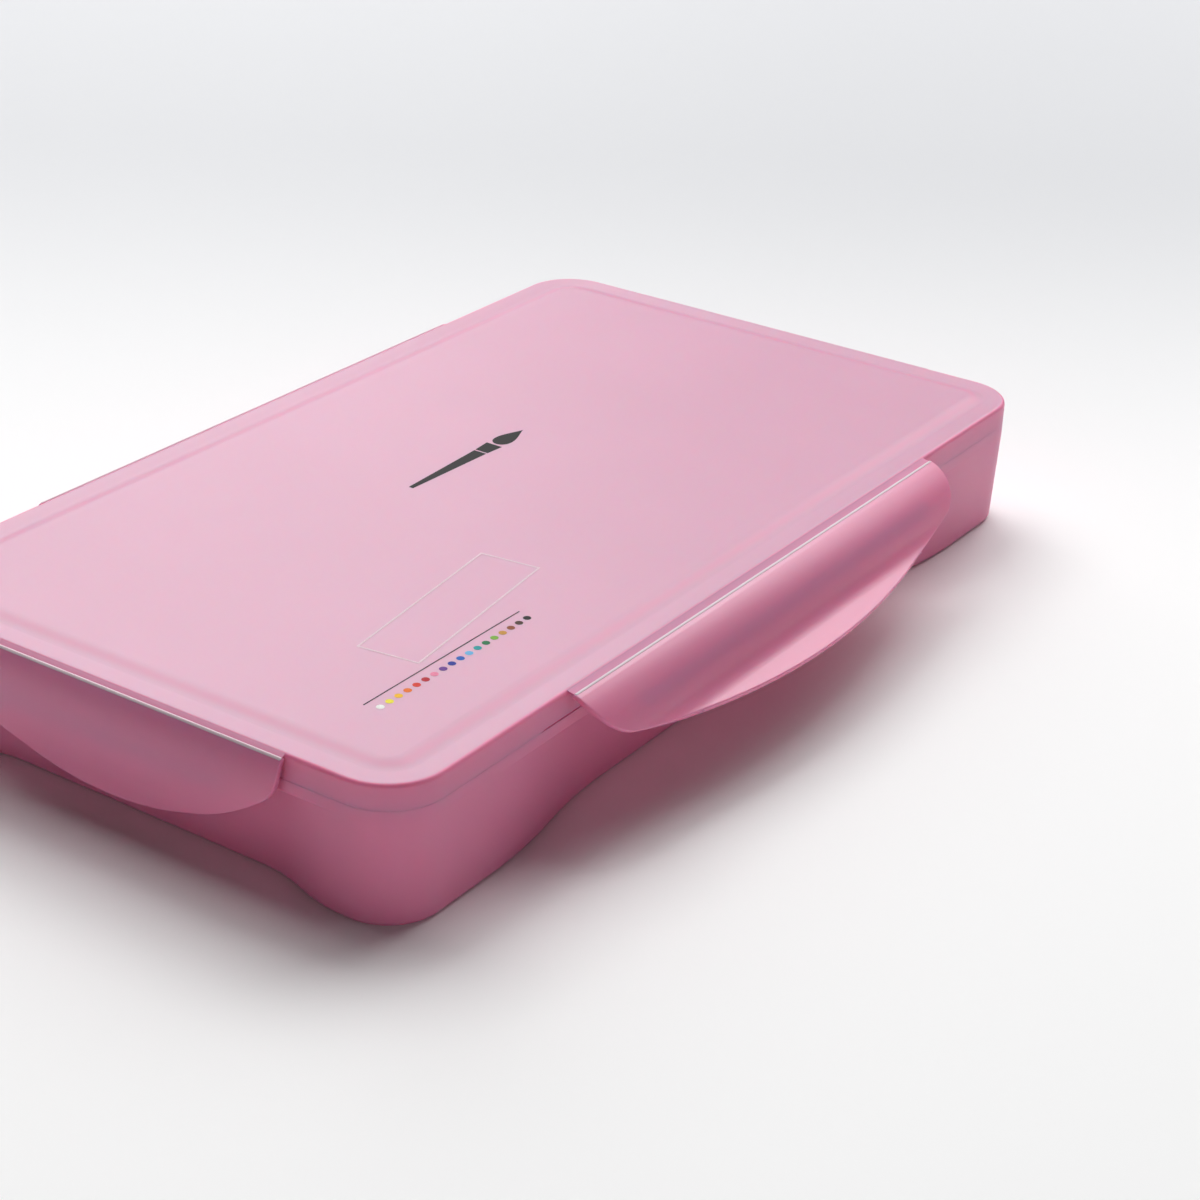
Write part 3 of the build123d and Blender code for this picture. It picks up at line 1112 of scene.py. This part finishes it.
@dataclass
class PaintCup:
    """A square tapered cup of gouache, sealed with a peel-off film."""

    number: int
    paint: Paint
    cup_material: bpy.types.Material
    film_material: bpy.types.Material
    corner: float = 5.0
    flange: float = 1.3
    flange_thickness: float = 0.9
    wall: float = 0.9
    taper: float = 4.0
    foot_rounding: float = 0.9
    flange_roundings: Triple = (0.15, 0.2, 0.25)
    inner_rounding: float = 1.0
    corner_segments: int = 8
    cells: int = 22
    paint_drop: float = 0.35
    swirl_height: float = 0.35
    swirl_scales: Pair = (0.11, 0.3)
    fine_swirl: float = 0.4
    swirl_steps: Pair = (7.31, 3.17)
    meniscus: float = 0.3
    meniscus_reach: float = 3.0
    film_margin: float = 0.3
    film_clearance: float = 0.05
    slack: tuple[Triple, ...] = ((6.0, -0.25, -0.3), (1.5, -0.15, -0.2))
    slack_corner: float = 0.5

    def node(self, part: str) -> str:
        """Return the name of the CAD node of one of this cup's parts."""
        return f"{part}_{self.number:02d}"

    def middle(self) -> Pair:
        """Return the middle of the cup, in millimetres."""
        return NodeBox.of(self.node("cup")).middle

    def shell(self, size: NodeBox, corner: float) -> RoundedShell:
        """Return a shell as long and wide as a box, centred on the cup.

        Args:
            size: The box.
            corner: Radius of the shell's corners.
        """
        plan = {"centre": self.middle(), "corner_segments": self.corner_segments}
        return RoundedShell(size.length, size.width, corner, **plan)

    def cup(self) -> None:
        """Build the cup itself."""
        box = NodeBox.of(self.node("cup"))
        lean = tan(radians(self.taper))
        height = box.top - box.bottom
        under = box.top - self.flange_thickness
        inner = self.flange + self.wall
        below, outer, mouth = self.flange_roundings
        rings = [
            Ring(self.flange + height * lean, box.bottom, rounding=self.foot_rounding),
            Ring(self.flange + self.flange_thickness * lean, under),
            Ring(0.0, under, rounding=below),
            Ring(0.0, box.top, rounding=outer),
            Ring(inner, box.top, rounding=mouth),
            Ring(
                inner + (height - self.wall) * lean,
                box.bottom + self.wall,
                rounding=self.inner_rounding,
            ),
        ]
        bm = self.shell(box, self.corner).build(rings)
        piece = make_piece(f"paint_{self.node('cup')}", bm, self.cup_material)
        seat(piece, "base", "cup_polypropylene", self.node("cup"))

    def level(self, spot: Vector, edge: float) -> float:
        """Return how far the paint's surface lies from the top of its node.

        Args:
            spot: The place, from the cup's middle.
            edge: Distance from the nearest side.
        """
        seed = Vector((*(self.number * step for step in self.swirl_steps), 0.5))
        broad, fine = (noise.noise(spot * scale + seed) for scale in self.swirl_scales)
        calm = min(1.0, max(0.0, edge / self.meniscus_reach))
        swirl = self.swirl_height * calm * (1 + broad + self.fine_swirl * fine)
        return self.meniscus * (1 - calm) - self.paint_drop - swirl

    def fill(self) -> None:
        """Build the paint, with the soft swirls that filling leaves on its top."""
        box = NodeBox.of(self.node("paint"))
        half = Vector((box.length / 2, box.width / 2, 0.0))
        corner = self.corner - self.flange - self.wall
        reach = half - Vector((corner, corner, 0.0))
        bm = bmesh.new()
        bmesh.ops.create_grid(bm, x_segments=self.cells, y_segments=self.cells, size=0.5)
        bmesh.ops.scale(bm, vec=(box.length, box.width, 1), verts=bm.verts)
        for vert in bm.verts:
            core = Vector([max(-reach[i], min(reach[i], vert.co[i])) for i in range(3)])
            past = vert.co - core
            if past.length > corner:
                vert.co = core + past.normalized() * corner
            edge = min(half.x - abs(vert.co.x), half.y - abs(vert.co.y))
            vert.co.z = box.top + self.level(vert.co, edge)
        boundary = [e for e in bm.edges if e.is_boundary]
        made = bmesh.ops.extrude_edge_only(bm, edges=boundary)["geom"]
        lean = tan(radians(self.taper))
        shrink = 1 - 2 * (box.top - box.bottom) * lean / box.length
        for vert in verts_in(made):
            vert.co = Vector((vert.co.x * shrink, vert.co.y * shrink, box.bottom))
        bmesh.ops.contextual_create(bm, geom=[e for e in bm.edges if e.is_boundary])
        bmesh.ops.translate(bm, vec=(*self.middle(), 0.0), verts=bm.verts)
        finish_mesh(bm)
        gouache = WetGouache(f"wet gouache {self.paint.name}", self.paint.value).material()
        name = f"gouache_{self.number:02d}_{self.paint.name}"
        piece = make_piece(name, bm, gouache, flat_faces=False)
        seat(piece, "base", f"gouache_{self.paint.name}", self.node("paint"))

    def film(self) -> None:
        """Build the film, sealed flat on the flange and slightly slack inside it."""
        box = NodeBox.of(self.node("film"))
        seal = self.flange + self.wall - self.film_margin
        top = box.top - self.film_clearance
        rings = [Ring(seal + run, box.bottom + under) for run, under, _ in self.slack]
        rings += [Ring(seal, box.bottom), Ring(0.0, box.bottom), Ring(0.0, top), Ring(seal, top)]
        rings += [Ring(seal + run, top + over) for run, _, over in reversed(self.slack)]
        corner = max(self.corner - self.film_margin, seal + self.slack[0][0] + self.slack_corner)
        bm = self.shell(box, corner).build(rings)
        name = f"seal_{self.node('film')}"
        piece = make_piece(name, bm, self.film_material, flat_faces=False)
        seat(piece, "base", "clear_film", self.node("film"))

    def build(self) -> None:
        """Build the cup, its paint and its film."""
        self.cup()
        self.fill()
        self.film()


# ---- Print on the lid -------------------------------------------------------


@dataclass
class LidPrint:
    """Plain printed marks: a white frame, a dark rule, a brush and a row of dots."""

    box: Enclosure
    dark: ScreenInk
    light: ScreenInk
    thickness: float = 0.02
    sunk: float = 0.005
    frame_middle: Pair = (-58.5, -31.5)
    frame_size: Pair = (50.5, 14.5)
    frame_tilt: float = 7.5
    frame_line: float = 0.45
    rule_middle: Pair = (-77.1, -44.0)
    rule_size: Pair = (50.4, 0.28)
    dot_radius: float = 0.85
    dot_pitch: float = 2.8
    dot_drop: float = 3.0
    brush_start: Pair = (-17.0, 11.8)
    handle: Pair = (26.0, 3.4)
    handle_taper: float = 0.35
    ferrule: Pair = (5.0, 4.4)
    ferrule_taper: float = 0.8
    tuft: Pair = (5.4, 3.4)
    tuft_point: float = 0.8
    brush_gaps: Pair = (0.5, 0.7)

    def flat(self, name: str, bm: Mesh, ink: bpy.types.Material) -> None:
        """Give a flat outline its thickness and seat it on the lid.

        Args:
            name: Name of the mark.
            bm: The outline in millimetres, seen from above.
            ink: The ink that it is printed in.
        """
        made = bmesh.ops.extrude_face_region(bm, geom=bm.faces[:], use_keep_orig=True)["geom"]
        for vert in bm.verts:
            vert.co.z = self.box.top - self.thickness - self.sunk
        for vert in verts_in(made):
            vert.co.z = self.box.top
        finish_mesh(bm)
        piece = make_piece(name, bm, ink, flat_faces=False)
        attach(piece, "lid")
        log.info("%s is printed on the lid", name)

    def bar(
        self,
        bm: Mesh,
        middle: Pair,
        size: Pair,
        tilt: float = 0.0,
        taper: float = 1.0,
    ) -> Mesh:
        """Add a flat bar to a mesh and return the mesh.

        Args:
            bm: The mesh that gets the bar.
            middle: The bar's middle.
            size: Its length and width.
            tilt: How far it is turned, in degrees.
            taper: Width of its near end, as a share of the far end's.
        """
        verts = bmesh.ops.create_grid(bm, x_segments=1, y_segments=1, size=0.5)["verts"]
        for vert in verts:
            vert.co.y *= taper if vert.co.x < 0 else 1.0
        bmesh.ops.scale(bm, vec=(*size, 1.0), verts=verts)
        bmesh.ops.rotate(bm, matrix=Matrix.Rotation(radians(tilt), 3, "Z"), verts=verts)
        bmesh.ops.translate(bm, vec=(*middle, 0.0), verts=verts)
        return bm

    def disc(self, bm: Mesh, middle: Pair, size: Pair, point: float = 0.0) -> Mesh:
        """Add a disc, drawn out to a point if asked, to a mesh and return the mesh.

        Args:
            bm: The mesh that gets the disc.
            middle: The disc's middle.
            size: Its half length and half width.
            point: How sharp its far end is.
        """
        verts = bmesh.ops.create_circle(bm, cap_ends=True, segments=40, radius=1.0)["verts"]
        for vert in verts:
            narrow = max(0.0, (1 - vert.co.x) / 2) ** point if point else 1.0
            reach = (vert.co.x * size[0], vert.co.y * size[1] * narrow)
            vert.co = (middle[0] + reach[0], middle[1] + reach[1], 0.0)
        return bm

    def outline(self) -> Mesh:
        """Return the tilted frame, drawn as one line."""
        bm = self.bar(bmesh.new(), self.frame_middle, self.frame_size, self.frame_tilt)
        line = {"use_boundary": True, "use_even_offset": True, "thickness": self.frame_line}
        ring = bmesh.ops.inset_region(bm, faces=bm.faces[:], **line)["faces"]
        bmesh.ops.delete(bm, geom=[f for f in bm.faces if f not in ring], context="FACES_ONLY")
        return bm

    def brush(self) -> Mesh:
        """Return a plain paintbrush: a tapered handle, a ferrule and a pointed tuft."""
        x, y = self.brush_start
        bm = self.bar(
            bmesh.new(), (x + self.handle[0] / 2, y), self.handle, taper=self.handle_taper
        )
        x += self.handle[0] + self.brush_gaps[0]
        self.bar(bm, (x + self.ferrule[0] / 2, y), self.ferrule, taper=self.ferrule_taper)
        x += self.ferrule[0] + self.brush_gaps[1]
        return self.disc(bm, (x + self.tuft[0], y), self.tuft, self.tuft_point)

    def build(self) -> None:
        """Build all the marks."""
        dark = self.dark.material()
        rule = self.bar(bmesh.new(), self.rule_middle, self.rule_size)
        self.flat("print_frame", self.outline(), self.light.material())
        self.flat("print_rule", rule, dark)
        self.flat("print_brush", self.brush(), dark)
        x, y = self.rule_middle
        for number, paint in enumerate(Paint):
            along = x + (number - (len(Paint) - 1) / 2) * self.dot_pitch
            dot_size = (self.dot_radius, self.dot_radius)
            dot = self.disc(bmesh.new(), (along, y - self.dot_drop), dot_size)
            ink = ScreenInk(f"screen ink {paint.name}", paint.value).material()
            self.flat(f"print_dot_{paint.name}", dot, ink)


# ---- Table, light and camera ------------------------------------------------


@dataclass(frozen=True)
class Softbox:
    """A square area light that faces the box; its sizes are in metres."""

    name: str
    place: Triple
    watts: float
    size: float = 1.8

    def build(self) -> None:
        """Add the light."""
        data = bpy.data.lights.new(self.name, "AREA")
        data.shape = "SQUARE"
        data.size = self.size
        data.energy = self.watts
        light = bpy.data.objects.new(self.name, data)
        bpy.context.scene.collection.objects.link(light)
        at = Vector(self.place)
        turn = (-at).to_track_quat("-Z", "Y")
        light.matrix_world = Matrix.LocRotScale(at, turn, None)


@dataclass
class Studio:
    """The pale table, the soft light and the camera."""

    lens: float = 78.32
    sensor: float = 36.0
    camera_place: Triple = (-440.7, -322.6, 273.5)
    aim: Triple = (16.1, -18.5, 0.0)
    roll: float = -2.07
    table_radius: float = 1600.0
    room_light: float = 0.005
    softboxes: tuple[Softbox, ...] = (
        Softbox("key", (1.677, 0.387, 2.457), 34.9),
        Softbox("right", (2.358, -0.165, 1.847), 28.1),
        Softbox("back low", (1.566, 2.005, 1.59), 28.1),
        Softbox("back high", (0.518, 1.595, 2.487), 36.0),
        Softbox("left fill", (-2.84, -0.501, 0.827), 7.9),
        Softbox("front fill", (0.251, -2.873, 0.827), 6.6),
    )

    def camera(self) -> None:
        """Create the camera and make it the scene's own."""
        data = bpy.data.cameras.new("camera")
        data.lens = self.lens
        data.sensor_width = self.sensor
        camera = bpy.data.objects.new("camera", data)
        bpy.context.scene.collection.objects.link(camera)
        place = Vector(self.camera_place) * MM
        look = Vector(self.aim) * MM - place
        roll = Matrix.Rotation(-radians(self.roll), 3, "Z")
        turn = (look.to_track_quat("-Z", "Y").to_matrix() @ roll).to_quaternion()
        camera.matrix_world = Matrix.LocRotScale(place, turn, None)
        bpy.context.scene.camera = camera

    def table(self) -> None:
        """Make the table that the box stands on."""
        bm = bmesh.new()
        radius = self.table_radius * MM
        bmesh.ops.create_circle(bm, cap_ends=True, segments=96, radius=radius)
        laminate = Laminate("white laminate table").material()
        make_piece("table", bm, laminate, flat_faces=False)

    def world(self) -> None:
        """Light the scene from all round and show white where nothing stands."""
        world = bpy.data.worlds.new("studio")
        bpy.context.scene.world = world
        world.use_nodes = True
        tree = world.node_tree
        tree.nodes.clear()
        white = (1.0, 1.0, 1.0, 1.0)
        room = add_node(tree, "Background", Color=white, Strength=self.room_light)
        seen = add_node(tree, "Background", Color=white, Strength=1.0)
        by_camera = add_node(tree, "LightPath").outputs["Is Camera Ray"]
        chosen = {"i0": by_camera, "i1": room.outputs[0], "i2": seen.outputs[0]}
        shown = add_node(tree, "MixShader", **chosen).outputs[0]
        add_node(tree, "OutputWorld", Surface=shown)

    def build(self) -> None:
        """Build the table, the lights and the camera."""
        self.table()
        self.world()
        for softbox in self.softboxes:
            softbox.build()
        self.camera()
        bpy.context.scene.view_settings.view_transform = "Standard"


def main() -> None:
    """Build every sub-assembly around the frame."""
    logging.basicConfig(level=logging.INFO, format="%(name)s: %(message)s")
    pink = MouldedPolypropylene("pink polypropylene, satin moulded", roughness=0.4)
    glossy = replace(pink, name="pink polypropylene, polished moulded", gloss=1.0)
    # the lid's paler top is a painted sheen, and its tilted crease keeps the deeper pink as painted
    # shade
    sheen_painted_lid = MouldedPolypropylene("pink polypropylene, spark-textured top", PINK, "#DDA5BE")
    # painted shade and painted light on the hinge webs: the open front web is painted darker for
    # the shadow seen through it, the webs of the closed flaps lighter to lift the shade they lie in
    web = MouldedPolypropylene("pink polypropylene, stretched hinge web", "#DD7CA2", roughness=0.5)
    thin = {"roughness": 0.5, "scatter_mm": (0.5, 0.4, 0.4)}
    light_painted_web = MouldedPolypropylene("pink polypropylene, folded hinge web", "#F79CBF", **thin)
    # the bead's pale colour is stress-whitening and a painted highlight, so that its face in shade
    # reads light
    white = {"roughness": 0.5, "scatter_mm": (0.4, 0.4, 0.4)}
    bead = MouldedPolypropylene("pink polypropylene, stress-whitened", "#E9D2DA", **white)
    # painted glow: the saturated strip seen in the slots stands in for light that comes through the
    # plastic
    painted_glow = MouldedPolypropylene("pink polypropylene, deep in a slot", "#FF1468", roughness=0.6)
    box = Enclosure()
    BaseTray(box, pink).build()
    LidShell(box, sheen_painted_lid, painted_glow).build()

    opened = FlapShape(box.long_flap, 22.4, 229.0, 11.0)
    # the long flap at the back hangs closer in than the open one
    tight = {"belly_radius": 15.5, "belly_turn": 58.0, "neck_radius": 2.2, "neck_turn": 54.0}
    hanging = replace(opened, **tight)
    wide = {"belly_radius": 26.0, "belly_turn": 38.0, "neck_radius": 12.0, "neck_turn": 12.0}
    short = FlapShape(box.short_flap, 22.2, 72.0, 6.5, belly_start=18.0, **wide)
    nibs = (-62.0, -48.0, 45.0)
    LatchFlap(box, Side.front, opened, 47.2, glossy, web, bead, start=1.0, nibs=nibs).build()
    for side, shape in ((Side.back, hanging), (Side.left, short), (Side.right, short)):
        LatchFlap(box, side, shape, 8.0, pink, light_painted_web, bead).build()

    cup_plastic = MouldedPolypropylene(
        "natural polypropylene, moulded cup", "#E9E8E2", scatter_mm=(2.0, 1.8, 1.5)
    ).material()
    film = ClearFilm("clear sealing film").material()
    for number, paint in enumerate(Paint, start=1):
        PaintCup(number, paint, cup_plastic, film).build()
    dark, light = ScreenInk("dark screen ink", "#150E11"), ScreenInk("white screen ink", "#EACDD7")
    LidPrint(box, dark, light).build()
    Studio().build()


if __name__ == "__main__":
    main()
